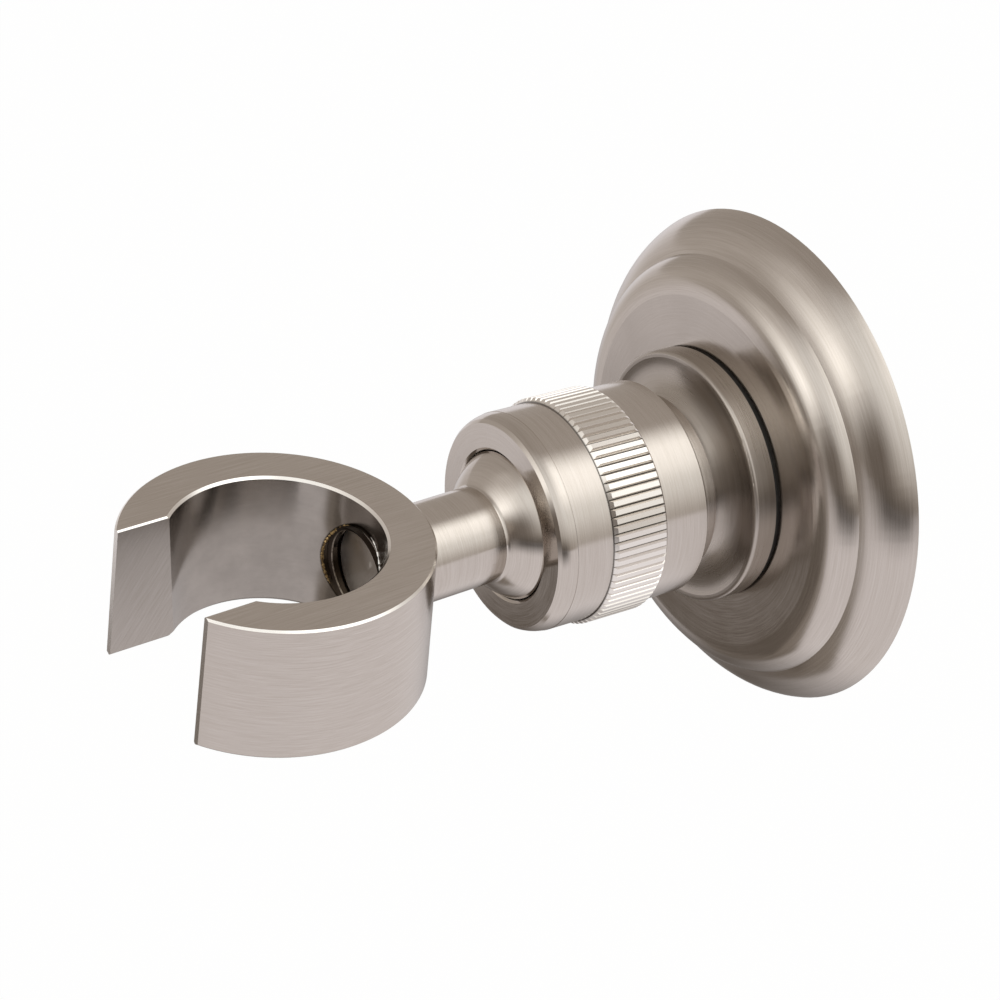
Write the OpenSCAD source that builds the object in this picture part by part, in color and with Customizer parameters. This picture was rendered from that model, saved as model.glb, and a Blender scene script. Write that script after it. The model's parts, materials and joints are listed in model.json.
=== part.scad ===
// Hand shower holder for a wall: a round flange, a ball joint clamped by a knurled nut,
// and a slotted ring cradle on a short stem.
// The wall is the plane Y = 0, the socket's axis runs along -Y, and +Z is up.
// The origin is the centre of the flange on the wall. The arm is set by two angles at the ball.

/* [Flange] */
// Radius of the flange where it meets the wall
flange_r = 33.5; // [31.5:0.5:45]
// Distance from the wall to the flat front of the flange
flange_h = 8.9; // [8:0.1:10]
// Radius of the crease between the raised disc and the rim
crease_r = 28.5; // [26:0.5:30.5]
// Distance from the wall to the crease
crease_h = 5.4; // [4.6:0.1:6.4]
// How far the rim's curve stands out from a straight slope
rim_bulge = 0.8; // [0.5:0.1:1.6]
// Rounding of the raised disc's edge
disc_round = 5; // [4:0.1:6]
// Wall thickness of the hollow flange
flange_wall = 1.8; // [1.2:0.1:2.4]
// Width of the rubber ring in the back of the rim
seal_w = 2.2; // [1.6:0.1:2.4]
// Thickness of the rubber ring
seal_t = 1.4; // [1:0.1:2]

/* [Wall plate] */
// Thickness of the wall plate
plate_t = 2; // [1.5:0.1:2.5]
// Number of wall screws
screw_count = 3; // [2:1:6]
// Radius of the circle that the wall screws lie on
screw_circle_r = 18; // [16:0.5:20]
// Radius of a screw hole
screw_hole_r = 2.5; // [2:0.1:3]
// Radius of the threaded boss's head
boss_r = 9; // [8.5:0.1:10]

/* [Collar] */
// Thickness of the black gasket under the collar
gasket_t = 0.5; // [0.3:0.1:1]
// How far the collar's rim stands out from its neck
collar_flare = 6.5; // [6.1:0.1:8.6]
// Height of the collar's rim
collar_rim_h = 3.15; // [2.4:0.05:4]
// Whole height of the collar
collar_h = 5.55; // [5:0.05:6.5]
// Radius of the cove turned into the collar's front
cove_r = 5.2; // [4.8:0.1:6]
// How far the collar's neck stays inside the socket's shoulder
neck_inset = 1.5; // [1.1:0.1:1.9]

/* [Socket] */
// How far the socket's shoulder stands out from its thread
shoulder_step = 0.4; // [0.2:0.1:1.5]
// Thickness of the shoulder
shoulder_t = 2.5; // [1.5:0.1:4]
// How much wider than the ball the socket's thread is, in radius
ball_cover = 0.6; // [0.4:0.05:1]
// Radius of the shank that screws into the wall plate's boss
shank_r = 5.9; // [5:0.1:6.5]

/* [Ball and stem] */
// Radius of the ball
ball_r = 10.9; // [9.5:0.05:12.5]
// Radius of the stem
stem_r = 6.27; // [5.8:0.01:6.6]
// Distance from the ball's centre to the cradle's axis
arm_len = 39.7; // [34:0.1:60]
// Swing of the arm to the side as it is set, in degrees
arm_swing = 4.5; // [-12:0.5:12]
// Lift of the arm as it is set, in degrees
arm_lift = 1; // [-8:0.5:8]
// Fillet where the stem leaves the ball
root_fillet = 0.8; // [0.4:0.1:1]
// Radius of the thread on the stem's end
stem_thread_r = 5.93; // [5.2:0.01:6]
// Wall thickness of the rear seat behind the ball
rear_seat_t = 1.65; // [1.2:0.05:2.4]

/* [Clamp nut] */
// Length of the nut
nut_len = 22.5; // [21:0.1:25]
// Wall of the nut round its thread, in front of the knurl
nut_wall = 2.84; // [2.5:0.01:3.6]
// How much the smooth cylinder behind the knurl is smaller in radius
rear_drop = 0.13; // [0.02:0.01:0.4]
// Length of the smooth cylinder behind the knurl
nut_rear_len = 6.75; // [5:0.05:8]
// Length of the knurl
knurl_len = 8.1; // [6:0.1:9]
// How far the tops of the knurl's teeth stand out from the nut
knurl_rise = 0.56; // [0.52:0.01:1.2]
// Number of teeth in the knurl
knurl_count = 83; // [60:1:100]
// Depth of the grooves between the teeth
knurl_depth = 0.5; // [0.3:0.01:0.6]
// Share of the tooth pitch that the flat top takes
knurl_top_share = 0.56; // [0.3:0.01:0.8]
// Length of the nut's rounded nose
nose_len = 2.4; // [1.2:0.1:3.2]
// How much the nose narrows to the nut's face
nose_drop = 0.85; // [0.4:0.05:1.3]
// Distance from the nut's front back to the ball's centre
ball_inset = 5.25; // [5:0.05:5.5]
// Thickness of the nut's front lip
lip_t = 1; // [0.8:0.05:1.3]

/* [Cradle] */
// Radius of the tapered bore at its bottom
bore_bottom_r = 12.2; // [11:0.05:14]
// How much wider the bore's radius is at its top
bore_flare = 0.95; // [0.4:0.05:1.4]
// Wall of the cradle round the bottom of the bore
cradle_wall = 7.2; // [6:0.05:10]
// How much narrower the cradle's outside is at its top, in radius
cradle_draft = 0.4; // [0:0.1:0.8]
// Height of the cradle
cradle_h = 17.8; // [16:0.1:26]
// How far the middle of the cradle lies above the stem's axis
cradle_rise = 0.25; // [-1:0.05:1]
// Width of the mouth
mouth_w = 19.3; // [14:0.1:20.4]
// Width of the flat that blunts each end of the ring at the mouth
mouth_land = 0.8; // [0.3:0.1:1.2]
// Chamfer at the top of the bore
top_chamfer = 0.3; // [0.2:0.1:0.8]
// Chamfer at the bottom of the bore
bottom_chamfer = 0.6; // [0.2:0.1:1.2]

/* [Hidden] */
$fn = 96;

// One overrun for every cut
over = 2;
// Radial clearance of screwed pieces and of turning pieces
thread_clear = 0.07;
turn_clear = 0.05;
// Radial clearance of loose holes round the shank
loose_clear = 0.4;
// Clearance round the wall plate and the rubber ring
plate_clear = 0.3;
seal_clear = 0.1;
// Gap left in front of the boss, so that the flange is drawn against the wall
boss_gap = 0.4;
// Land of the rim inside the rubber ring
seal_land = 1.6;
// How far the gasket lies behind the collar's edge
gasket_inset = 0.35;
// Rounding of the collar's edge, and how far the cove dips behind the rim
collar_round = 0.45;
cove_dip = 0.15;
// Small edge breaks on turned pieces, the nut's rear end, the cradle and its mouth
edge_break = 0.3;
nut_rear_break = 0.4;
cradle_break = 0.25;
mouth_break = 0.2;
// How deep the stem's fillet runs into the ball and the stem that it joins
blend_bite = 0.01;
// Chamfer at the ends of the knurl's teeth
knurl_chamfer = 0.45;
// Small step where the nose starts, and how far behind it the nose's arc is centred
nose_step = 0.04;
nose_back = 0.2;
// Edge breaks of the nut's front opening and of its face
lip_break = 0.3;
face_break = 0.15;
// Gap between the tightened nut and the socket's shoulder
nut_gap = 0.5;
// Wall and clearance of the boss's spigot in the wall plate
spigot_wall = 1.6;
spigot_clear = 0.02;
// Wall between the socket's thread and the rear seat
socket_wall = 1.25;
// How far the socket ends behind the ball's centre, and the seat behind the socket's end
socket_setback = 5.2;
seat_setback = 0.4;
// Clearance between the ball and what it turns in
seat_clear = 0.05;
lip_clear = 0.15;
// The front seat's back edge in front of the ball's centre, and its gap to the lip
front_seat_start = 0.4;
front_seat_gap = 0.05;
// Depth of the flat spot that the stem seats on, in the cradle's outside
spot_depth = 1.7;
spot_clear = 0.08;
// How far the stem's end lies behind the cradle's bore
stem_recess = 1;

// Radii of the nut, the socket and the collar, from the ball outwards
socket_r = ball_r + ball_cover;
shoulder_r = socket_r + shoulder_step;
neck_r = shoulder_r - neck_inset;
collar_r = neck_r + collar_flare;
nut_front_r = socket_r + nut_wall;
nut_rear_r = nut_front_r - rear_drop;
knurl_r = nut_front_r + knurl_rise;

// Places along the socket's axis, measured from the wall
collar_base = flange_h + gasket_t;
socket_base = collar_base + collar_h;
shoulder_end = socket_base + shoulder_t;
nut_base = shoulder_end + nut_gap;
nut_end = nut_base + nut_len;
ball_place = nut_end - ball_inset;
socket_end = ball_place - socket_setback;
seat_floor = ball_place - ball_r - seat_clear - rear_seat_t;

// Rounded edge of the raised disc
disc_mid_h = flange_h - disc_round;
disc_mid_r = crease_r - sqrt(pow(disc_round, 2) - pow(crease_h - disc_mid_h, 2));
// The rim is an arc from the crease to the wall
rim_chord = sqrt(pow(flange_r - crease_r, 2) + pow(crease_h, 2));
rim_arc_r = pow(rim_chord, 2) / (8 * rim_bulge) + rim_bulge / 2;
rim_back = (rim_arc_r - rim_bulge) / rim_chord;
rim_mid_r = (flange_r + crease_r) / 2 - rim_back * crease_h;
rim_mid_h = crease_h / 2 - rim_back * (flange_r - crease_r);
// Hollow of the flange
hollow_round = disc_round - flange_wall;
hollow_r = disc_mid_r + hollow_round;
plate_r = hollow_r - plate_clear;
seal_r = hollow_r + seal_land;

// Inside sizes of the joint
spigot_r = shank_r + spigot_wall;
socket_bore_r = socket_r - socket_wall;
rear_seat_r = socket_bore_r - turn_clear;
nut_bore_r = socket_r + thread_clear;
front_seat_r = nut_bore_r - turn_clear;
lip_start = nut_end - lip_t;

// The nose is an arc, and the opening in front of the ball is broken
nose_start = nut_end - nose_len;
nose_narrow = nose_drop - nose_step;
nose_arc_in = (pow(nose_narrow, 2) + pow(nose_len, 2) + 2 * nose_len * nose_back) / (2 * nose_narrow);
nose_arc_r = sqrt(pow(nose_arc_in, 2) + pow(nose_back, 2));
nose_mid_r = nut_front_r - nose_step - nose_arc_in;
lip_edge_r = sqrt(pow(ball_r + lip_clear, 2) - pow(ball_inset - lip_break, 2));

// The cradle's radii, and the stem's places from the ball's centre
bore_top_r = bore_bottom_r + bore_flare;
cradle_r = bore_bottom_r + cradle_wall;
cradle_top_r = cradle_r - cradle_draft;
half_h = cradle_h / 2;
mouth_half = mouth_w / 2;
stem_end = arm_len - cradle_r + spot_depth;
bore_mid_r = (bore_top_r + bore_bottom_r) / 2;
stem_tip = arm_len - bore_mid_r - stem_recess;

// Turns an outline of radius and distance from the wall into a solid on the socket's axis
module turned() {
    rotate([90, 0, 0])
        rotate_extrude()
            children();
}

// A ring section from one radius to another, between two distances
module band(inner, outer, from, to) {
    translate([inner, from])
        square([outer - inner, to - from]);
}

// The same with both outer edges broken at 45 degrees
module broken_band(inner, outer, from, to, edge) {
    polygon([
        [inner, from], [outer - edge, from], [outer, from + edge],
        [outer, to - edge], [outer - edge, to], [inner, to]
    ]);
}

// A disc of the outline plane
module spot(radius, at_r, at_h) {
    translate([at_r, at_h])
        circle(r = radius);
}

// The half of the outline plane that is turned, in front of a distance
module in_front_of(from) {
    band(0, flange_r + nut_end, from, nut_end + flange_r);
}

module wall_plate() {
    color("#b3b5b6")
        rotate([90, 0, 0])
            difference() {
                cylinder(h = plate_t, r = plate_r);
                translate([0, 0, -over])
                    cylinder(h = plate_t + 2 * over, r = spigot_r + spigot_clear);
                for (i = [0 : screw_count - 1])
                    rotate([0, 0, 90 + i * 360 / screw_count])
                        translate([screw_circle_r, 0, -over])
                            cylinder(h = plate_t + 2 * over, r = screw_hole_r, $fn = 32);
            }
}

module plate_boss() {
    color("#b89a5c")
        turned()
            union() {
                band(shank_r + thread_clear, spigot_r, 0, plate_t);
                broken_band(
                    shank_r + thread_clear, boss_r, plate_t, flange_h - flange_wall - boss_gap, edge_break
                );
            }
}

module wall_seal() {
    color("#2c2c2c")
        turned()
            band(seal_r + seal_clear, seal_r + seal_w - seal_clear, 0, seal_t);
}

module flange_outline() {
    band(0, disc_mid_r, 0, flange_h);
    band(0, crease_r, 0, disc_mid_h);
    spot(disc_round, disc_mid_r, disc_mid_h);
    intersection() {
        spot(rim_arc_r, rim_mid_r, rim_mid_h);
        in_front_of(0);
    }
}

module flange_hollow() {
    band(0, disc_mid_r, -over, flange_h - flange_wall);
    band(0, hollow_r, -over, disc_mid_h);
    spot(hollow_round, disc_mid_r, disc_mid_h);
}

module flange_cover() {
    color("#aba199")
        turned()
            difference() {
                intersection() {
                    flange_outline();
                    in_front_of(0);
                }
                flange_hollow();
                band(0, shank_r + loose_clear, 0, flange_h + over);
                band(seal_r, seal_r + seal_w, -over, seal_t);
            }
}

module collar_gasket() {
    color("#1b1b1b")
        turned()
            band(shank_r + loose_clear, collar_r - gasket_inset, flange_h, collar_base);
}

module base_collar() {
    cove_mid_h = collar_rim_h - cove_dip + cove_r;
    cove_mid_r = neck_r + sqrt(pow(cove_r, 2) - pow(cove_mid_h - collar_h, 2));
    color("#a89e95")
        turned()
            translate([0, collar_base])
                difference() {
                    union() {
                        band(0, cove_mid_r, 0, collar_h);
                        band(0, collar_r, 0, collar_rim_h - collar_round);
                        band(0, collar_r - collar_round, 0, collar_rim_h);
                        spot(collar_round, collar_r - collar_round, collar_rim_h - collar_round);
                    }
                    spot(cove_r, cove_mid_r, cove_mid_h);
                    band(0, shank_r + loose_clear, -over, collar_h + over);
                }
}

module socket_body() {
    color("#aca298")
        turned()
            difference() {
                union() {
                    broken_band(0, shank_r, plate_t / 2, socket_base + edge_break, edge_break);
                    broken_band(0, shoulder_r, socket_base, shoulder_end, edge_break);
                    broken_band(0, socket_r, shoulder_end - edge_break, socket_end, edge_break);
                }
                band(0, socket_bore_r, seat_floor, socket_end + over);
            }
}

module rear_seat() {
    color("#e6e1d2")
        turned()
            difference() {
                band(0, rear_seat_r, seat_floor, socket_end - seat_setback);
                spot(ball_r + seat_clear, 0, ball_place);
            }
}

module front_seat() {
    color("#e6e1d2")
        turned()
            difference() {
                band(0, front_seat_r, ball_place + front_seat_start, lip_start - front_seat_gap);
                spot(ball_r + seat_clear, 0, ball_place);
            }
}

// Straight knurl: flat topped teeth with V grooves between them, and chamfered ends
module knurl() {
    pitch = 360 / knurl_count;
    half_top = pitch * knurl_top_share / 2;
    root_r = knurl_r - knurl_depth;
    outline = [
        for (i = [0 : knurl_count - 1], k = [-1, 0, 1])
            let (
                angle = i * pitch + (k < 0 ? -half_top : k > 0 ? pitch / 2 : half_top),
                r = k > 0 ? root_r : knurl_r
            )
            [r * cos(angle), r * sin(angle)]
    ];
    intersection() {
        linear_extrude(height = knurl_len)
            polygon(outline);
        rotate_extrude()
            broken_band(0, knurl_r, 0, knurl_len, knurl_chamfer);
    }
}

module nut_outline() {
    knurl_end = nut_base + nut_rear_len + knurl_len;
    polygon([
        [0, nut_base], [nut_rear_r - nut_rear_break, nut_base], [nut_rear_r, nut_base + nut_rear_break],
        [nut_rear_r, knurl_end - knurl_len / 2], [0, knurl_end - knurl_len / 2]
    ]);
    band(0, nut_front_r, knurl_end - knurl_len / 2, nose_start);
    band(0, nose_mid_r, knurl_end, nut_end);
    intersection() {
        broken_band(0, nut_front_r, knurl_end - knurl_len / 2, nut_end, nose_drop + face_break);
        spot(nose_arc_r, nose_mid_r, nose_start - nose_back);
    }
}

module nut_hollow() {
    band(0, nut_bore_r, nut_base - over, lip_start);
    spot(ball_r + lip_clear, 0, ball_place);
    polygon([
        [0, nut_end - lip_break], [lip_edge_r, nut_end - lip_break],
        [lip_edge_r + lip_break, nut_end], [lip_edge_r + lip_break, nut_end + over], [0, nut_end + over]
    ]);
}

module clamp_nut() {
    color("#b8aea4")
        difference() {
            union() {
                turned()
                    nut_outline();
                rotate([90, 0, 0])
                    translate([0, 0, nut_base + nut_rear_len])
                        knurl();
            }
            turned()
                intersection() {
                    nut_hollow();
                    in_front_of(nut_base - over);
                }
        }
}

// Sets the stem and what it carries at the arm's swing and lift, about the ball's centre
module arm_pose() {
    translate([0, -ball_place, 0])
        rotate([-arm_lift, 0, arm_swing])
            children();
}

// Concave fillet round the foot of the stem, with its core
module stem_root() {
    fillet_mid_r = stem_r + root_fillet - blend_bite;
    fillet_mid_h = sqrt(pow(ball_r + root_fillet - blend_bite, 2) - pow(fillet_mid_r, 2));
    difference() {
        cylinder(h = fillet_mid_h, r1 = 0, r2 = fillet_mid_r);
        rotate_extrude()
            spot(root_fillet, fillet_mid_r, fillet_mid_h);
    }
}

module ball_stem() {
    color("#b3a99e")
        arm_pose()
            rotate([90, 0, 0]) {
                sphere(r = ball_r);
                stem_root();
                cylinder(h = stem_end, r = stem_r);
                rotate_extrude()
                    broken_band(0, stem_thread_r, 0, stem_tip, edge_break);
            }
}

// Section of the cradle's ring: a slightly drafted outside and a tapered bore
module cradle_section() {
    taper_share = bore_flare / cradle_h;
    draft_share = cradle_draft / cradle_h;
    polygon([
        [bore_bottom_r + bottom_chamfer, -half_h],
        [cradle_r - cradle_break, -half_h],
        [cradle_r - draft_share * cradle_break, -half_h + cradle_break],
        [cradle_top_r + draft_share * cradle_break, half_h - cradle_break],
        [cradle_top_r - cradle_break, half_h],
        [bore_top_r + top_chamfer, half_h],
        [bore_top_r - taper_share * top_chamfer, half_h - top_chamfer],
        [bore_bottom_r + taper_share * bottom_chamfer, -half_h + bottom_chamfer]
    ]);
}

// The mouth's cut, with its level edges broken at 45 degrees
module mouth_cut() {
    wide = mouth_half + mouth_break + over;
    rotate([90, 0, 0])
        linear_extrude(height = cradle_r + over)
            polygon([
                [-mouth_half, -half_h + mouth_break], [-wide, -half_h - over],
                [wide, -half_h - over], [mouth_half, -half_h + mouth_break],
                [mouth_half, half_h - mouth_break], [wide, half_h + over],
                [-wide, half_h + over], [-mouth_half, half_h - mouth_break]
            ]);
}

// What lies in front of the flats that blunt the ring's two ends
module land_cut() {
    flat_x = mouth_half + mouth_land;
    low_y = sqrt(pow(cradle_r, 2) - pow(flat_x, 2));
    high_y = sqrt(pow(cradle_top_r, 2) - pow(flat_x, 2));
    rotate([90, 0, 90])
        translate([0, 0, -cradle_r])
            linear_extrude(height = 2 * cradle_r)
                polygon([
                    [-low_y, -half_h - over], [-low_y, -half_h], [-high_y, half_h], [-high_y, half_h + over],
                    [-cradle_r - over, half_h + over], [-cradle_r - over, -half_h - over]
                ]);
}

module cradle() {
    color("#bbb1aa")
        arm_pose()
            translate([0, -arm_len, 0])
                difference() {
                    translate([0, 0, cradle_rise])
                        difference() {
                            rotate_extrude()
                                cradle_section();
                            mouth_cut();
                            land_cut();
                        }
                    rotate([-90, 0, 0])
                        cylinder(h = cradle_r + over, r = stem_thread_r + thread_clear, $fn = 64);
                    translate([0, cradle_r - spot_depth, 0])
                        rotate([-90, 0, 0])
                            cylinder(h = spot_depth + over, r = stem_r + spot_clear, $fn = 64);
                }
}

wall_plate();
plate_boss();
wall_seal();
flange_cover();
collar_gasket();
base_collar();
socket_body();
rear_seat();
front_seat();
clamp_nut();
ball_stem();
cradle();
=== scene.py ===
# %% [markdown]
# # A hand shower holder in brushed nickel
# The holder is screwed to a wall. A round flange covers the wall plate, a ball joint is
# clamped by a knurled nut, and a slotted ring at the end of a short stem takes the cone of a
# hand shower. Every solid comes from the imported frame, so this lesson is about finish: how
# turned, knurled and straight brushed metal is made to look like itself in Blender.

# %% Load the frame
import json
import math
import random

import bmesh
import bpy
from mathutils import Euler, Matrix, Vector


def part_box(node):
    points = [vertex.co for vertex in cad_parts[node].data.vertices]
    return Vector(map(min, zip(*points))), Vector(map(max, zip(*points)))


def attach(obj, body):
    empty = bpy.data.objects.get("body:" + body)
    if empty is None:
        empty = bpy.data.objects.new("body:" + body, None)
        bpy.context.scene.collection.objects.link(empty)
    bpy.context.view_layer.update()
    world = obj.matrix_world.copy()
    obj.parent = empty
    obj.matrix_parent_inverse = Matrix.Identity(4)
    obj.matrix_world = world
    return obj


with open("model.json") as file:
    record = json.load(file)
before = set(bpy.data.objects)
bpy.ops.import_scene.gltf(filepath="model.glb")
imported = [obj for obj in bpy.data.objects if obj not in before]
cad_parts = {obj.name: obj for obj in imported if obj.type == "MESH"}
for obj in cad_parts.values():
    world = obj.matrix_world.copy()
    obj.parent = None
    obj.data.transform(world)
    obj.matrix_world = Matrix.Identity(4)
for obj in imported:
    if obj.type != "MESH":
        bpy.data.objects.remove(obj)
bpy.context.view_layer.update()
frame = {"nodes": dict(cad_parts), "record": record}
print("nodes:", sorted(frame["nodes"]))

# %% [markdown]
# ## Places on the holder
# The wall is the plane Y = 0 and the socket's axis runs along -Y. The arm is set a few degrees
# aside and up, as in the picture. The ball's centre comes from the stem's own box, and the
# cradle's centre and bore from the record, so the finishes stay where the metal is.

# %% Measure the places
MM = 0.001
SOCKET_AXIS = Vector((0.0, -1.0, 0.0))
stem_low, stem_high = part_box("ball_stem")
BALL_R = (stem_high.z - stem_low.z) / 2
BALL = Vector((0.0, stem_high.y - BALL_R, 0.0))
seat = next(mount for mount in frame["record"]["mounts"] if mount["name"] == "cradle_seat")
CRADLE = Vector(seat["pos_m"])
BORE_AXIS = Vector(seat["axis"]).normalized()
ARM_LEN = (CRADLE - BALL).length
ARM_AXIS = (CRADLE - BALL).normalized()
SIDE_AXIS = ARM_AXIS.cross(BORE_AXIS).normalized()
print("ball centre", tuple(round(v / MM, 2) for v in BALL), "radius %.2f mm" % (BALL_R / MM))
print("cradle centre", tuple(round(v / MM, 2) for v in CRADLE))
off_axis = math.degrees(ARM_AXIS.angle(SOCKET_AXIS))
print("arm %.2f mm, %.2f degrees off the socket's axis" % (ARM_LEN / MM, off_axis))

# %% [markdown]
# ## Sizes inside the cradle
# The bore is tapered, wider on top. The stem is screwed into a tapped hole in the wall behind,
# and its end face stops a little short of the bore, so the hole is open in front of it.

# %% Name the cradle's sizes
BORE_LOW_R, BORE_HIGH_R = 12.2 * MM, 13.15 * MM
CRADLE_HALF_H = 8.9 * MM
HOLE_R, CREST_R, PITCH = 5.99 * MM, 5.5 * MM, 0.9 * MM
TIP_TO_CENTRE = 13.675 * MM
STEM_TIP = ARM_LEN - TIP_TO_CENTRE
print("the stem's end face is %.2f mm from the ball's centre" % (STEM_TIP / MM))

# %% [markdown]
# ## The camera
# The picture is a product shot from above and to the right of the arm. The camera was worked
# out from the ellipses that the turned edges make, so it only has to be put in place. A long
# lens keeps the ellipses as flat as they are in the picture.

# %% Place the camera
lens = bpy.data.cameras.new("product_lens")
lens.lens = 96.7
lens.sensor_width = 36
lens.shift_x = 0.0013
lens.shift_y = -0.0021
lens.clip_start = 0.01
camera = bpy.data.objects.new("product_camera", lens)
camera.location = (0.23011, -0.20614, 0.18855)
camera.rotation_euler = Euler([math.radians(a) for a in (56.808, -5.287, 57.799)])
bpy.context.scene.collection.objects.link(camera)
bpy.context.scene.camera = camera
bpy.context.scene.view_settings.view_transform = "Standard"
print("camera at", tuple(round(v, 3) for v in camera.location))

# %% [markdown]
# ## Node helpers
# A material is a small graph of nodes. The first two helpers add a node and wire its inputs in
# one line, which keeps each finish short enough to read. A plain number or colour is set on the
# socket itself, and another node's output is linked to it.


# %% Add and wire a node
def add_node(tree, kind, settings=None, **inputs):
    node = tree.nodes.new(kind)
    for key, value in (settings or {}).items():
        setattr(node, key, value)
    for key, value in inputs.items():
        plug(tree, node, key.replace("_", " "), value)
    return node


def plug(tree, node, key, value):
    socket = node.inputs[int(key)] if key.isdigit() else node.inputs[key]
    if isinstance(value, bpy.types.NodeSocket):
        tree.links.new(value, socket)
    else:
        socket.default_value = value


def start_material(name):
    material = bpy.data.materials.new(name)
    material.use_nodes = True
    material.node_tree.nodes.clear()
    return material, material.node_tree


print("node helpers ready")

# %% [markdown]
# ## Arithmetic in nodes
# Most masks in this lesson are sums on places: how far a point lies along an axis, whether that
# is between two lengths, and the product of a few such answers. Each sum gets a short name.


# %% Numbers and directions
def number(tree, operation, a, b=0.0, clamp=False):
    node = add_node(tree, "ShaderNodeMath", {"operation": operation, "use_clamp": clamp})
    plug(tree, node, "0", a)
    plug(tree, node, "1", b)
    return node.outputs[0]


def product(tree, first, *others):
    for other in others:
        first = number(tree, "MULTIPLY", first, other)
    return first


def arrow(tree, operation, a, b=None):
    node = add_node(tree, "ShaderNodeVectorMath", {"operation": operation})
    plug(tree, node, "0", a)
    if b is not None:
        plug(tree, node, "1", b)
    return node.outputs["Value" if operation in ("LENGTH", "DOT_PRODUCT") else "Vector"]


def scaled(tree, vector, factor):
    node = add_node(tree, "ShaderNodeVectorMath", {"operation": "SCALE"}, Scale=factor)
    plug(tree, node, "0", vector)
    return node.outputs["Vector"]


def measured(tree, vector, direction):
    """How far a vector reaches in one direction."""
    return arrow(tree, "DOT_PRODUCT", vector, tuple(direction))


def object_place(tree):
    return add_node(tree, "ShaderNodeTexCoord").outputs["Object"]


print("sums ready")

# %% [markdown]
# ## Masks, mixes and noise
# A mask is a number from 0 to 1 that says how much a finish counts at a point. `spread` makes
# one from any number, soft or sharp, and the mixes use it to choose between two numbers,
# directions or colours.


# %% Ranges, mixes and noise
def spread(tree, value, low, high, to_low=0.0, to_high=1.0, smooth=False):
    kind = "SMOOTHSTEP" if smooth else "LINEAR"
    node = add_node(tree, "ShaderNodeMapRange", {"interpolation_type": kind, "clamp": True})
    for key, part in zip("01234", (value, low, high, to_low, to_high)):
        plug(tree, node, key, part)
    return node.outputs[0]


def mixed(tree, settings, first_input, output, share, a, b):
    """A Mix node has its inputs and its output at other places for each data type."""
    node = add_node(tree, "ShaderNodeMix", settings)
    for key, value in ((0, share), (first_input, a), (first_input + 1, b)):
        plug(tree, node, str(key), value)
    return node.outputs[output]


def mix_numbers(tree, share, a, b):
    return mixed(tree, {"data_type": "FLOAT"}, 2, 0, share, a, b)


def mix_arrows(tree, share, a, b):
    return mixed(tree, {"data_type": "VECTOR"}, 4, 1, share, a, b)


def mix_colours(tree, share, a, b, blend="MIX"):
    return mixed(tree, {"data_type": "RGBA", "blend_type": blend}, 6, 2, share, a, b)


def noise(tree, vector, scale=1.0, detail=2.0, roughness=0.5, w=None):
    kind = {"noise_dimensions": "3D" if w is None else "4D"}
    node = add_node(tree, "ShaderNodeTexNoise", kind, Vector=vector, Scale=scale)
    plug(tree, node, "Detail", detail)
    plug(tree, node, "Roughness", roughness)
    if w is not None:
        plug(tree, node, "W", w)
    return node.outputs[0]


print("masks and noise ready")

# %% [markdown]
# ## Round brushing
# A turned piece is brushed while it spins, so its scratches run in circles about its axis. The
# scratches are noise that is stretched along the circle. A texture wrapped by angle would show
# a seam where the angle starts again, so the direction from the axis is used as it is: two
# numbers that come back to themselves after a turn. Height along the axis and distance from it
# are the other two, which makes the noise four dimensional.


# %% Coordinates and noise for round brushing
def round_places(tree, centre, along):
    """Direction from an axis, distance from it, place along it, and the scratch direction."""
    place = arrow(tree, "SUBTRACT", object_place(tree), tuple(centre))
    height = measured(tree, place, along)
    out = arrow(tree, "SUBTRACT", place, scaled(tree, tuple(along), height))
    distance = arrow(tree, "LENGTH", out)
    toward = arrow(tree, "NORMALIZE", out)
    scratch = arrow(tree, "CROSS_PRODUCT", tuple(along), toward)
    return toward, distance, height, scratch


def round_scratches(tree, places, along, turns, width, detail=3.0):
    """Noise that is long round the axis and only `width` metres wide across it."""
    toward, distance, height, _ = places
    stretched = scaled(tree, toward, turns)
    shift = scaled(tree, tuple(along), number(tree, "DIVIDE", height, width))
    both = arrow(tree, "ADD", stretched, shift)
    return noise(tree, both, 1.0, detail, 0.6, w=number(tree, "DIVIDE", distance, width))


def world_direction(tree, direction):
    """The same direction in the world, which is where a shader wants its tangent."""
    settings = {"vector_type": "VECTOR", "convert_from": "OBJECT", "convert_to": "WORLD"}
    return add_node(tree, "ShaderNodeVectorTransform", settings, Vector=direction).outputs[0]


print("round brushing ready")

# %% [markdown]
# ## Satin nickel
# The holder is brass with a brushed nickel plate: a warm grey metal. It is one Principled
# shader with full metal. Scratches spread a highlight across themselves far more than along
# themselves, and the shader's anisotropy does this when its tangent is the scratch direction.
# The fine noise only breaks up colour, roughness and bump a little, as light catches the
# plate. A broad cloudy noise stands for handling marks. Rolled places are brighter and have a
# gloss of their own, the cradle's edges get the same as a painted highlight, and places that
# little light reaches are darkened with painted shade.

# %% The nickel shader
NICKEL = (0.58, 0.535, 0.495, 1.0)
NICKEL_SHADE = (0.48, 0.435, 0.39, 1.0)
# The colour of the painted highlight on the cradle's edges.
EDGE_HIGHLIGHT = (0.84, 0.81, 0.775, 1.0)
ROLLED = (0.78, 0.745, 0.705, 1.0)
WHITE = (1.0, 1.0, 1.0, 1.0)
POLISHED_ROUGHNESS, BARE_ROUGHNESS = 0.16, 0.4
UNEVEN = 0.03


def bumped(tree, height, depth):
    return add_node(tree, "ShaderNodeBump", Strength=1.0, Distance=depth, Height=height).outputs[0]


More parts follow.
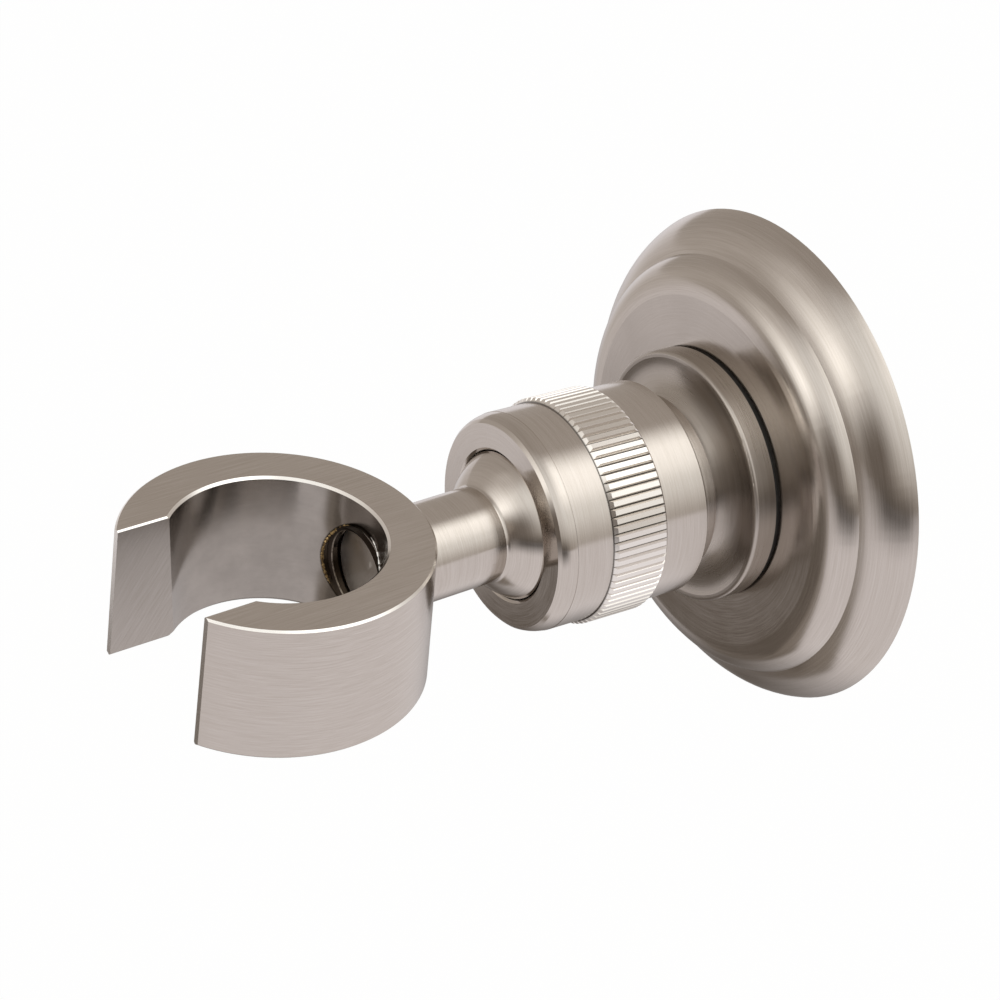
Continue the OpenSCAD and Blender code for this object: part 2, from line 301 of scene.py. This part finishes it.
def nickel_shader(tree, scratches, tangent, roughness, depth, brightened=None, darkening=None,
                  bright=EDGE_HIGHLIGHT, gloss=POLISHED_ROUGHNESS):
    """Joins scratches, tangent and cloudy handling marks in one metal shader."""
    clouds = noise(tree, object_place(tree), 90.0, 3.0, 0.55)
    uneven = spread(tree, clouds, 0.3, 0.7, -UNEVEN, UNEVEN)
    fine = spread(tree, scratches, 0.3, 0.7, -UNEVEN, UNEVEN)
    rough = number(tree, "ADD", number(tree, "ADD", uneven, fine), roughness, clamp=True)
    colour = mix_colours(tree, spread(tree, scratches, 0.3, 0.7), NICKEL_SHADE, NICKEL)
    colour = mix_colours(tree, spread(tree, clouds, 0.35, 0.75, 0.0, 0.25), colour, NICKEL)
    # Rolled knurls and bare ends get a brighter, glossier colour here, and so do the cradle's
    # edges as a painted highlight.
    if brightened is not None:
        colour = mix_colours(tree, brightened, colour, bright)
        rough = mix_numbers(tree, brightened, rough, gloss)
    # Painted shade: the colour is multiplied with a darker one where little light reaches.
    if darkening is not None:
        colour = mix_colours(tree, 1.0, colour, darkening, "MULTIPLY")
    shader = add_node(tree, "ShaderNodeBsdfPrincipled", Metallic=1.0, Anisotropic=0.74)
    plug(tree, shader, "Anisotropic Rotation", 0.25)
    plug(tree, shader, "Base Color", colour)
    plug(tree, shader, "Roughness", rough)
    plug(tree, shader, "Normal", bumped(tree, scratches, depth))
    plug(tree, shader, "Tangent", world_direction(tree, tangent))
    add_node(tree, "ShaderNodeOutputMaterial", Surface=shader.outputs[0])


print("nickel ready")

# %% [markdown]
# ## Two special places on turned metal
# The knurl is pressed in by a wheel with straight teeth, so the brush never touched it: its
# tooth tips are bright, and its grooves get painted shade. It is found by its radius and its
# place along the axis. The stem's end face is bare from the lathe, a little speckled and less
# glossy.


# %% Masks for the knurl and the bare end
def rolled_band(tree, places, radius, start, end):
    """Where the knurl is, and the painted shade in its grooves."""
    band = spread(tree, places[1], radius - 0.03 * MM, radius)
    for low, high in ((start - 0.05 * MM, start), (end + 0.05 * MM, end)):
        band = product(tree, band, spread(tree, places[2], low, high))
    # Painted shade in the grooves: the colour falls to 0.3 towards the roots.
    groove_shade = spread(tree, places[1], radius + 0.07 * MM, radius + 0.2 * MM, 0.3, 1.0)
    return band, mix_colours(tree, band, WHITE, groove_shade)


def bare_end(tree, height, start):
    face = spread(tree, height, start - 0.06 * MM, start - 0.03 * MM)
    specks = spread(tree, noise(tree, object_place(tree), 900.0), 0.66, 0.72)
    return product(tree, face, spread(tree, specks, 0.0, 1.0, 0.6, 1.0))


print("masks for the knurl and the bare end ready")

# %% [markdown]
# ## The turned finish
# A lathe leaves scratches of more than one size, so fine ones are mixed with a few broad ones.
# Each piece then gets its own width, length and roughness, because the pieces were brushed on
# different wheels, and the ones with special places name them.


# %% Turned nickel
def turned_nickel(name, width=0.18, turns=2.0, roughness=0.19, depth=2.0e-6, axis=SOCKET_AXIS,
                  painted_shade=None, finer=None, knurl=None, end_face=None):
    """Round brushing about an axis, with scratches `width` millimetres wide.

    `finer` is a place along the axis and how much smoother the metal is beyond it, `knurl` is
    (radius, from, to) of a band that is rolled instead, and `end_face` is where a bare end is.
    """
    material, tree = start_material(name)
    places = round_places(tree, BALL, axis)
    fine = round_scratches(tree, places, axis, turns, width * MM)
    broad = round_scratches(tree, places, axis, turns * 0.4, width * 4 * MM, 2.0)
    scratches = mix_numbers(tree, 0.16, fine, broad)
    # The shade argument is painted shade: a colour that the whole piece is multiplied with.
    way, darkening = places[3], painted_shade
    special, gloss = None, POLISHED_ROUGHNESS
    if finer:
        beyond, less = finer
        low, high = beyond - 0.2 * MM, beyond + 0.2 * MM
        roughness = spread(tree, places[2], low, high, roughness, roughness - less)
    if end_face:
        special, gloss = bare_end(tree, places[2], end_face), BARE_ROUGHNESS
    if knurl:
        special, darkening = rolled_band(tree, places, *knurl)
        way = mix_arrows(tree, special, way, tuple(axis))
    nickel_shader(tree, scratches, way, roughness, depth, special, darkening, ROLLED, gloss)
    return material


def dress(node, material):
    """Gives a CAD node its finish in place of the plain packed one."""
    for slot in frame["nodes"][node].material_slots:
        slot.material = material
    print(node, "is finished in", material.name)


print("round finishes ready")

# %% [markdown]
# ## Turned pieces
# Flange, collar, socket and nut share the socket's axis, and the stem has the arm's, so one
# round brushing fits them all. The stem is the smoothest, and the collar is the roughest and
# is darkened all over with painted shade. Where the knurl begins and ends is measured on the
# nut's own mesh, so it fits the teeth.

# %% Find the knurl
nut_points = [vertex.co for vertex in frame["nodes"]["clamp_nut"].data.vertices]
nut_r = max(math.hypot(point.x, point.z) for point in nut_points)
tooth_tips = [
    (point - BALL).dot(SOCKET_AXIS)
    for point in nut_points
    if math.hypot(point.x, point.z) > nut_r - 0.3 * MM
]
TOOTH_DEPTH, CHAMFER = 0.54 * MM, 0.4 * MM
KNURL = (nut_r - TOOTH_DEPTH, min(tooth_tips) - CHAMFER, max(tooth_tips) + CHAMFER)
NUT_END = BALL.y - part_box("clamp_nut")[0].y
print("knurl from %.2f to %.2f mm along the axis from the ball" % (KNURL[1] / MM, KNURL[2] / MM))

# %% Finish the turned pieces
TURNED = {
    "flange_cover": dict(name="flange_brushed", width=0.16, turns=4.0, roughness=0.17),
    "base_collar": dict(
        name="collar_brushed", width=0.22, roughness=0.29, depth=4.0e-6,
        # Painted shade: the whole collar is multiplied with this colour.
        painted_shade=(0.8, 0.79, 0.78, 1.0),
    ),
    "socket_body": dict(name="socket_turned", turns=1.4),
    "clamp_nut": dict(
        name="nut_brushed", width=0.15, turns=2.6, knurl=KNURL, finer=(NUT_END - 2.2 * MM, 0.08)
    ),
    "ball_stem": dict(
        name="stem_brushed", width=0.15, turns=1.6, roughness=0.13, axis=ARM_AXIS,
        finer=(13.5 * MM, -0.06), end_face=STEM_TIP,
    ),
}
for node, settings in TURNED.items():
    dress(node, turned_nickel(**settings))

# %% [markdown]
# ## The cradle's surfaces
# The cradle is turned on an upright axis and then its top and its mouth are brushed by hand.
# Its outside has level scratches, the top has straight ones along the arm, and the mouth has
# slanted ones. Its broken edges and the jaws' ends get a painted highlight, bright and glossy,
# the bore is a little smudged and gets painted shade, and the tapped hole gets painted shade,
# almost black. One material picks between them by the direction that the surface faces and by
# its place.


# %% Find the cradle's surfaces
# Each pair is where a mask begins and where it is full: places first, then slopes.
MOUTH_AHEAD, MOUTH_ASIDE = (6.8 * MM, 7.2 * MM), (11.5 * MM, 11 * MM)
HOLE_WIDE, HOLE_BEHIND = (6.3 * MM, 6.15 * MM), (-9 * MM, -10 * MM)
BORE_WIDE = (13.6 * MM, 13.4 * MM)
LEVEL, LEANING = (0.85, 0.95), (0.2, 0.3)
FACES_SIDE, FACES_FRONT = (0.985, 0.995), (0.9, 0.96)


def cradle_masks(tree, place, normal, off_bore):
    """Each is 1 on its own surface: flat face, mouth, tapped hole, painted-highlight edge, bore.
    """
    ahead = measured(tree, place, ARM_AXIS)
    aside = number(tree, "ABSOLUTE", measured(tree, place, SIDE_AXIS))
    off_arm = round_places(tree, BALL, ARM_AXIS)[1]
    upward = number(tree, "ABSOLUTE", measured(tree, normal, BORE_AXIS))
    sideways = number(tree, "ABSOLUTE", measured(tree, normal, SIDE_AXIS))
    forward = measured(tree, normal, ARM_AXIS)
    flat = spread(tree, upward, *LEVEL)
    in_front = spread(tree, ahead, *MOUTH_AHEAD)
    between_jaws = product(tree, spread(tree, sideways, *FACES_SIDE), in_front)
    mouth = product(tree, between_jaws, spread(tree, aside, *MOUTH_ASIDE))
    hole = product(tree, spread(tree, off_arm, *HOLE_WIDE), spread(tree, ahead, *HOLE_BEHIND))
    slope = product(tree, spread(tree, upward, *LEANING), spread(tree, upward, *LEVEL[::-1]))
    jaw_end = product(tree, spread(tree, forward, *FACES_FRONT), in_front)
    # Chamfers and the jaws' ends, which get the painted highlight.
    edge = number(tree, "MAXIMUM", slope, jaw_end)
    edge = product(tree, edge, number(tree, "SUBTRACT", 1.0, hole))
    upright = spread(tree, upward, *LEANING[::-1])
    bore = product(tree, spread(tree, off_bore, *BORE_WIDE), upright)
    bore = number(tree, "SUBTRACT", bore, mouth, clamp=True)
    return flat, mouth, hole, edge, bore


def straight_scratches(tree, place, direction, across, width, length):
    """Noise stretched along one straight direction; `across` is the other direction."""
    joined = add_node(tree, "ShaderNodeCombineXYZ")
    plug(tree, joined, "0", number(tree, "DIVIDE", measured(tree, place, direction), length))
    plug(tree, joined, "1", number(tree, "DIVIDE", measured(tree, place, across), width))
    return noise(tree, joined.outputs[0], 1.0, 4.0, 0.6)


print("cradle masks ready")

# %% [markdown]
# ## How dark the inside is
# The bore and the mouth mirror each other and the dark hole, so they get painted shade: a
# colour that the nickel is multiplied with, darker towards the bore's left, lighter towards the
# mouth's foot, and almost black in the hole. A random smudge in the bore stands for the film
# that fingers and hose cones leave.

# %% Paint shade inside the cradle
MOUTH_TILT = math.radians(57)
SLANT = BORE_AXIS * math.sin(MOUTH_TILT) - ARM_AXIS * math.cos(MOUTH_TILT)
ATHWART = BORE_AXIS * math.cos(MOUTH_TILT) + ARM_AXIS * math.sin(MOUTH_TILT)
# Painted shade for the tapped hole.
HOLE_SHADE = (0.10, 0.085, 0.07, 1.0)


def inside_dullness(tree, place, mouth, hole, bore):
    # Painted shade: the bore darker towards its left, the mouth darker towards its top.
    shade_to_left = spread(tree, measured(tree, place, SIDE_AXIS), -5 * MM, 6 * MM, 0.95, 0.74)
    mouth_shade = spread(tree, measured(tree, place, BORE_AXIS), 9 * MM, -9 * MM, 0.56, 0.74)
    # A random smudge, the film that fingers and hose cones leave.
    smudge = spread(tree, noise(tree, place, 160.0, 4.0, 0.65), 0.35, 0.7, 0.78, 0.95)
    darkening = mix_colours(tree, bore, WHITE, shade_to_left)
    darkening = mix_colours(tree, mouth, darkening, mouth_shade)
    smudged = mix_colours(tree, bore, WHITE, smudge)
    darkening = mix_colours(tree, 1.0, darkening, smudged, "MULTIPLY")
    # Painted shade: the tapped hole almost black.
    return mix_colours(tree, hole, darkening, HOLE_SHADE)


print("the mouth is brushed at %.0f degrees" % math.degrees(MOUTH_TILT))

# %% [markdown]
# ## The cradle's finish
# Three kinds of scratches are made and the masks choose between them, for the noise and for the
# direction that the shader is told. The two must agree, or the highlight runs across the
# scratches that it should follow. In the bore the scratches are softer, as it was only reamed.

# %% Finish the cradle
BORE_SOFTNESS = 0.6


def cradle_nickel(name):
    material, tree = start_material(name)
    places = round_places(tree, CRADLE, BORE_AXIS)
    coord = add_node(tree, "ShaderNodeTexCoord")
    place = arrow(tree, "SUBTRACT", coord.outputs["Object"], tuple(CRADLE))
    flat, mouth, hole, edge, bore = cradle_masks(tree, place, coord.outputs["Normal"], places[1])
    on_wall = round_scratches(tree, places, BORE_AXIS, 5.0, 0.11 * MM)
    on_top = straight_scratches(tree, place, ARM_AXIS, SIDE_AXIS, 0.2 * MM, 9 * MM)
    on_mouth = straight_scratches(tree, place, SLANT, ATHWART, 0.3 * MM, 5 * MM)
    scratches = mix_numbers(tree, mouth, mix_numbers(tree, flat, on_wall, on_top), on_mouth)
    scratches = mix_numbers(tree, product(tree, bore, BORE_SOFTNESS), scratches, 0.5)
    way = mix_arrows(tree, flat, places[3], tuple(ARM_AXIS))
    way = mix_arrows(tree, mouth, way, tuple(SLANT))
    # Painted shade inside, with a smudge in the bore, and a painted highlight on the edges.
    darkening = inside_dullness(tree, place, mouth, hole, bore)
    nickel_shader(tree, scratches, way, 0.2, 2.0e-6, edge, darkening)
    return material


dress("cradle", cradle_nickel("cradle_brushed"))

# %% [markdown]
# ## What lies inside
# Behind the flange are a zinc plated wall plate, a brass boss and a rubber ring. Round the ball
# are two nylon seats, and under the collar is a black gasket. They show at the back and in the
# gaps, so each has a finish of its own.


# %% Finish the hidden pieces
def plain_finish(name, low, high, scale, roughness, depth, metallic=0.0):
    """Two close colours in noise, with a little bump: for rubber, nylon, zinc and brass."""
    material, tree = start_material(name)
    grain = noise(tree, object_place(tree), scale, 4.0, 0.6)
    colour = mix_colours(tree, spread(tree, grain, 0.3, 0.7), low + (1.0,), high + (1.0,))
    shader = add_node(tree, "ShaderNodeBsdfPrincipled", Metallic=metallic, Base_Color=colour)
    rough = spread(tree, grain, 0.3, 0.7, roughness - 0.05, roughness + 0.05)
    plug(tree, shader, "Roughness", rough)
    plug(tree, shader, "Normal", bumped(tree, grain, depth))
    add_node(tree, "ShaderNodeOutputMaterial", Surface=shader.outputs[0])
    return material


zinc = plain_finish("zinc_plate", (0.5, 0.51, 0.52), (0.66, 0.67, 0.68), 500, 0.4, 4e-6, 1.0)
brass = plain_finish("turned_brass", (0.6, 0.42, 0.17), (0.72, 0.53, 0.25), 400, 0.35, 3e-6, 1.0)
rubber = plain_finish("black_rubber", (0.012, 0.012, 0.012), (0.03, 0.03, 0.03), 900, 0.6, 1e-5)
nylon = plain_finish("natural_nylon", (0.72, 0.69, 0.6), (0.8, 0.77, 0.69), 600, 0.45, 4e-6)
dress("wall_plate", zinc)
dress("plate_boss", brass)
dress("wall_seal", rubber)
dress("collar_gasket", rubber)
dress("rear_seat", nylon)
dress("front_seat", nylon)

# %% [markdown]
# ## The thread in the cradle
# The stem screws into a tapped hole, and its end stays a little behind the bore, so the last
# turns of thread show inside the hole. A thread is one ridge wound in a helix. It is swept here
# point by point: each step of the turn adds a small pointed section, and the sections are
# joined by faces. The burrs below are joined in the same way.


# %% Join sections into a piece
def off_the_arm(angle):
    """The direction from the arm's axis at an angle about it."""
    return SIDE_AXIS * math.cos(angle) + BORE_AXIS * math.sin(angle)


def joined_sections(name, sections, material):
    """Joins equal rings of points into one closed piece that rides on the holder."""
    mesh = bmesh.new()
    rings = [[mesh.verts.new(point) for point in section] for section in sections]
    for a, b in zip(rings, rings[1:]):
        for k in range(len(a)):
            after = (k + 1) % len(a)
            mesh.faces.new((a[k], a[after], b[after], b[k]))
    mesh.faces.new(rings[0])
    mesh.faces.new(rings[-1][::-1])
    bmesh.ops.recalc_face_normals(mesh, faces=mesh.faces)
    data = bpy.data.meshes.new(name)
    mesh.to_mesh(data)
    mesh.free()
    data.materials.append(material)
    piece = bpy.data.objects.new(name, data)
    bpy.context.scene.collection.objects.link(piece)
    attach(piece, "holder")
    print(name, "has", len(data.polygons), "faces")


print("arm's side is", tuple(round(v, 3) for v in SIDE_AXIS))

# %% [markdown]
# ## The thread's metal
# A cut thread isn't brushed. Deep in the hole its flanks get painted shade, almost black, and
# only the crests, where the stem rubbed, keep a lighter worn colour. The distance from the
# arm's axis tells the crest from the root.


# %% Bare metal for the thread
def thread_metal(name):
    """Painted shade, almost black, between the turns and a lighter worn line along the crests."""
    material, tree = start_material(name)
    off_arm = round_places(tree, BALL, ARM_AXIS)[1]
    grain = noise(tree, object_place(tree), 2500.0, 3.0, 0.6)
    # Painted shade on the flanks: near black except along the crests.
    unshaded_crests = spread(tree, off_arm, CREST_R + 0.22 * (HOLE_R - CREST_R), CREST_R, 0.0, 0.8)
    unshaded_crests = product(tree, unshaded_crests, spread(tree, grain, 0.35, 0.6, 0.3, 1.0))
    colour = mix_colours(tree, unshaded_crests, (0.035, 0.026, 0.02, 1.0), (0.5, 0.44, 0.37, 1.0))
    shader = add_node(tree, "ShaderNodeBsdfPrincipled", Metallic=1.0, Base_Color=colour)
    plug(tree, shader, "Roughness", spread(tree, grain, 0.3, 0.7, 0.25, 0.4))
    add_node(tree, "ShaderNodeOutputMaterial", Surface=shader.outputs[0])
    return material


metal = thread_metal("thread_metal")
print("the thread's crests are at %.2f mm, its roots at %.2f mm" % (CREST_R / MM, HOLE_R / MM))

# %% [markdown]
# ## The ridge
# The ridge moves on a little with each step of the turn, by one pitch in a whole turn. It
# starts half a pitch in front of the stem's end, and its last turn reaches a little past the
# bore's surface at the top and the foot of the hole.

# %% Wind the thread
RIDGE = ((0.0, -0.42), (1.0, -0.06), (1.0, 0.06), (0.0, 0.42))


def wound_ridge(start, end, steps=72):
    """Sections of a ridge about the arm, between two distances from the ball's centre.

    RIDGE gives each point's height, as a share of the thread's, and its place in pitches. The
    ridge rises from nothing over its first six steps and sinks over its last six.
    """
    count = int(abs(end - start) / PITCH * steps)
    sections = []
    for i in range(count + 1):
        outward = off_the_arm(2 * math.pi * i / steps)
        middle = start + (end - start) * i / count
        fade = min(1.0, i / 6, (count - i) / 6)
        rise = (CREST_R - HOLE_R) * fade
        sections.append([
            BALL + ARM_AXIS * (middle + shift * PITCH) + outward * (HOLE_R + rise * height)
            for height, shift in RIDGE
        ])
    return sections


ridge = wound_ridge(STEM_TIP + 0.5 * PITCH, STEM_TIP + 2.0 * MM)
joined_sections("hole_thread", ridge, metal)

# %% [markdown]
# ## Burrs at the tapped hole
# The tap leaves a ragged lip where the hole breaks into the bore: bright on one side and brown
# with old cutting oil on the other. A lip is a thin tube along the hole's rim, and its
# thickness jumps about with a seeded random number, so it is the same each time.


# %% Raise the burrs
def bore_radius(height):
    share = (height + CRADLE_HALF_H) / (2 * CRADLE_HALF_H)
    return BORE_LOW_R + (BORE_HIGH_R - BORE_LOW_R) * share


def rim_burr(start, end, thickness, seed, steps=60, sides=5):
    """Sections of a lip on the hole's rim, between two angles about the arm."""
    chance = random.Random(seed)
    sections = []
    for i in range(steps + 1):
        outward = off_the_arm(math.radians(start + (end - start) * i / steps))
        spot = outward * (HOLE_R - 0.01 * MM)
        depth = math.sqrt(bore_radius(spot.dot(BORE_AXIS)) ** 2 - spot.dot(SIDE_AXIS) ** 2)
        middle = CRADLE + spot - ARM_AXIS * depth
        size = thickness * chance.uniform(0.25, 1.0) * min(1.0, i / 4 + 0.1, (steps - i) / 4 + 0.1)
        section = []
        for k in range(sides):
            turn = 2 * math.pi * k / sides
            out, ahead = math.cos(turn) * size, math.sin(turn) * size
            section.append(middle + outward * out + ARM_AXIS * ahead)
        sections.append(section)
    return sections


BRIGHT = (0.75, 0.72, 0.68), (0.95, 0.93, 0.9)
OILED = (0.12, 0.07, 0.03), (0.62, 0.45, 0.22)
bright_burr = plain_finish("burr_bright", *BRIGHT, 3000, 0.22, 4e-6, 1.0)
oiled_burr = plain_finish("burr_oiled", *OILED, 2500, 0.35, 4e-6, 1.0)
joined_sections("burr_right", rim_burr(100, 192, 0.16 * MM, 4), bright_burr)
joined_sections("burr_left", rim_burr(-42, 62, 0.28 * MM, 9), oiled_burr)

# %% [markdown]
# ## The floor
# The floor is plain and white. It lies well below the holder, as if the holder were held up in
# front of a white table. Its own diffuse colour keeps the soft shadow, and a share of plain
# white for the camera makes it as white as the picture. The metal doesn't mirror this sheet: it
# mirrors the white table that is painted with the rest of the studio, further down.

# %% Lay the floor
FLOOR_Z, FLOOR_REACH = -0.25, 6.0
PLAIN_SHARE = 0.96


def white_ground(name):
    material, tree = start_material(name)
    path = add_node(tree, "ShaderNodeLightPath")
    seen = number(tree, "ADD", path.outputs["Is Camera Ray"], path.outputs["Is Glossy Ray"])
    seen = number(tree, "ADD", seen, path.outputs["Is Transmission Ray"], clamp=True)
    matt = add_node(tree, "ShaderNodeBsdfDiffuse", Color=(0.9, 0.9, 0.9, 1.0))
    white = add_node(tree, "ShaderNodeEmission", Color=WHITE, Strength=1.0)
    blend = add_node(tree, "ShaderNodeMixShader")
    plug(tree, blend, "0", product(tree, seen, PLAIN_SHARE))
    plug(tree, blend, "1", matt.outputs[0])
    plug(tree, blend, "2", white.outputs[0])
    add_node(tree, "ShaderNodeOutputMaterial", Surface=blend.outputs[0])
    return material


square = ((-1, -1), (1, -1), (1, 1), (-1, 1))
corners = [(x * FLOOR_REACH, y * FLOOR_REACH, FLOOR_Z) for x, y in square]
ground = bpy.data.meshes.new("floor")
ground.from_pydata(corners, [], [(0, 1, 2, 3)])
ground.materials.append(white_ground("floor_white"))
floor = bpy.data.objects.new("floor", ground)
floor.visible_glossy = False
bpy.context.scene.collection.objects.link(floor)
print("floor at z = %.2f m" % FLOOR_Z)

# %% [markdown]
# ## Light for metal
# Metal shows what stands round it, so a metal part is lit by building what it mirrors. In the
# picture that is a bright softbox behind and above, another in front, a pale ceiling and table,
# and the dark side of the room behind the camera. Each is a soft-edged panel painted on the
# world, which is quicker and less noisy than real lamps. A panel is given by azimuth, which is
# counted from -Y towards +X, elevation, half its width and height in degrees, roll, softness
# of its edge and level. A later panel covers an earlier one.


# %% A soft panel on the world
def facing(azimuth, elevation):
    a, e = math.radians(azimuth), math.radians(elevation)
    return Vector((math.sin(a) * math.cos(e), -math.cos(a) * math.cos(e), math.sin(e)))


def warm(level):
    """Dim parts of the room are a little brown, bright ones are neutral."""
    t = min(max(level, 0.0) / 1.1, 1.0)
    return (level, level * (0.83 + 0.165 * t), level * (0.70 + 0.27 * t), 1.0)


def panel(tree, ray, colour, azimuth, elevation, half_width, half_height, roll, softness, level):
    ahead = facing(azimuth, elevation)
    level_right = Vector((math.cos(math.radians(azimuth)), math.sin(math.radians(azimuth)), 0.0))
    level_up = level_right.cross(ahead)
    turn = math.radians(roll)
    right = level_right * math.cos(turn) + level_up * math.sin(turn)
    up = level_up * math.cos(turn) - level_right * math.sin(turn)
    depth = measured(tree, ray, ahead)
    safe = number(tree, "MAXIMUM", depth, 0.001)
    cover = spread(tree, depth, 0.01, 0.03)
    edge = math.tan(math.radians(softness)) / 2
    for side, half in ((right, half_width), (up, half_height)):
        off = number(tree, "ABSOLUTE", number(tree, "DIVIDE", measured(tree, ray, side), safe))
        reach = math.tan(math.radians(half))
        inside = spread(tree, off, reach - edge, reach + edge, 1.0, 0.0, smooth=True)
        cover = product(tree, cover, inside)
    return mix_colours(tree, cover, colour, warm(level))


print("panels ready")

# %% [markdown]
# ## The room
# The room itself is grey and grows lighter towards the wall's side, and the lower half is the
# white table. The panels go over both. The camera sees plain white behind everything.

# %% List the panels
PANELS = (
    # azimuth, elevation, half width, half height, roll, softness, level
    ("pale ceiling", 68, 51, 41, 28, 24, 48, 1.17),
    ("softbox behind", 132, 56, 22, 25, -49, 29, 1.9),
    ("softbox in front", -9, 31, 17, 30, -59, 35, 2.05),
    ("its spill", -57, 18, 52, 19, -58, 49, 0.64),
    ("dim room behind the camera", 31, 10, 23, 17, -32, 31, 0.22),
    ("dark skyline", 60, -5, 27, 7, -1, 24, 0.06),
    ("grey card, upright", -18, -35, 23, 41, 17, 11, 0.34),
    ("black card, lying", -28, -36, 25, 17, -53, 3, 0.18),
    ("dark table end", -109, -58, 22, 32, -58, 46, 0.14),
    ("lit wall", 131, 24, 30, 11, -2, 42, 1.29),
)
TABLE = (0.95, 0.915, 0.93, 1.0)
print("panels:", ", ".join(name for name, *_ in PANELS))

# %% Paint the room
room = bpy.data.worlds.new("studio")
room.use_nodes = True
tree = room.node_tree
tree.nodes.clear()
ray = add_node(tree, "ShaderNodeTexCoord").outputs["Generated"]
lighter = spread(tree, measured(tree, ray, facing(172, 6)), -0.6, 1.0, smooth=True)
colour = mix_colours(tree, lighter, warm(0.43), warm(0.57))
below = spread(tree, measured(tree, ray, (0.0, 0.0, 1.0)), -0.01, -0.07, smooth=True)
colour = mix_colours(tree, below, colour, TABLE)
for _, *numbers in PANELS:
    colour = panel(tree, ray, colour, *numbers)
path = add_node(tree, "ShaderNodeLightPath")
colour = mix_colours(tree, path.outputs["Is Camera Ray"], colour, WHITE)
glow = add_node(tree, "ShaderNodeBackground", Strength=1.0, Color=colour)
add_node(tree, "ShaderNodeOutputWorld", Surface=glow.outputs[0])
bpy.context.scene.world = room
print("room painted with", len(PANELS), "panels")

# %% [markdown]
# ## A lamp for the shadow
# The painted room is all round, so it hardly throws a shadow. One soft lamp where the softbox
# behind is painted gives the matt pieces a direction of light and lays a soft shadow on the
# floor. The metal already mirrors the painted softbox, so the lamp itself isn't mirrored.

# %% Set the lamp
LAMP_AIM = Vector((0.0, -0.04, 0.0))
LAMP_LEVEL, LAMP_DISTANCE = 0.6, 0.9
lamp = bpy.data.lights.new("back_softbox", "AREA")
lamp.shape = "RECTANGLE"
lamp.size, lamp.size_y = 0.5, 0.5
lamp.energy = LAMP_LEVEL * math.pi * lamp.size * lamp.size_y
softbox = bpy.data.objects.new("back_softbox", lamp)
softbox.location = LAMP_AIM + facing(147, 46) * LAMP_DISTANCE
softbox.rotation_euler = (LAMP_AIM - softbox.location).to_track_quat("-Z", "Y").to_euler()
softbox.visible_glossy = False
bpy.context.scene.collection.objects.link(softbox)
print("lamp energy %.2f W" % lamp.energy)
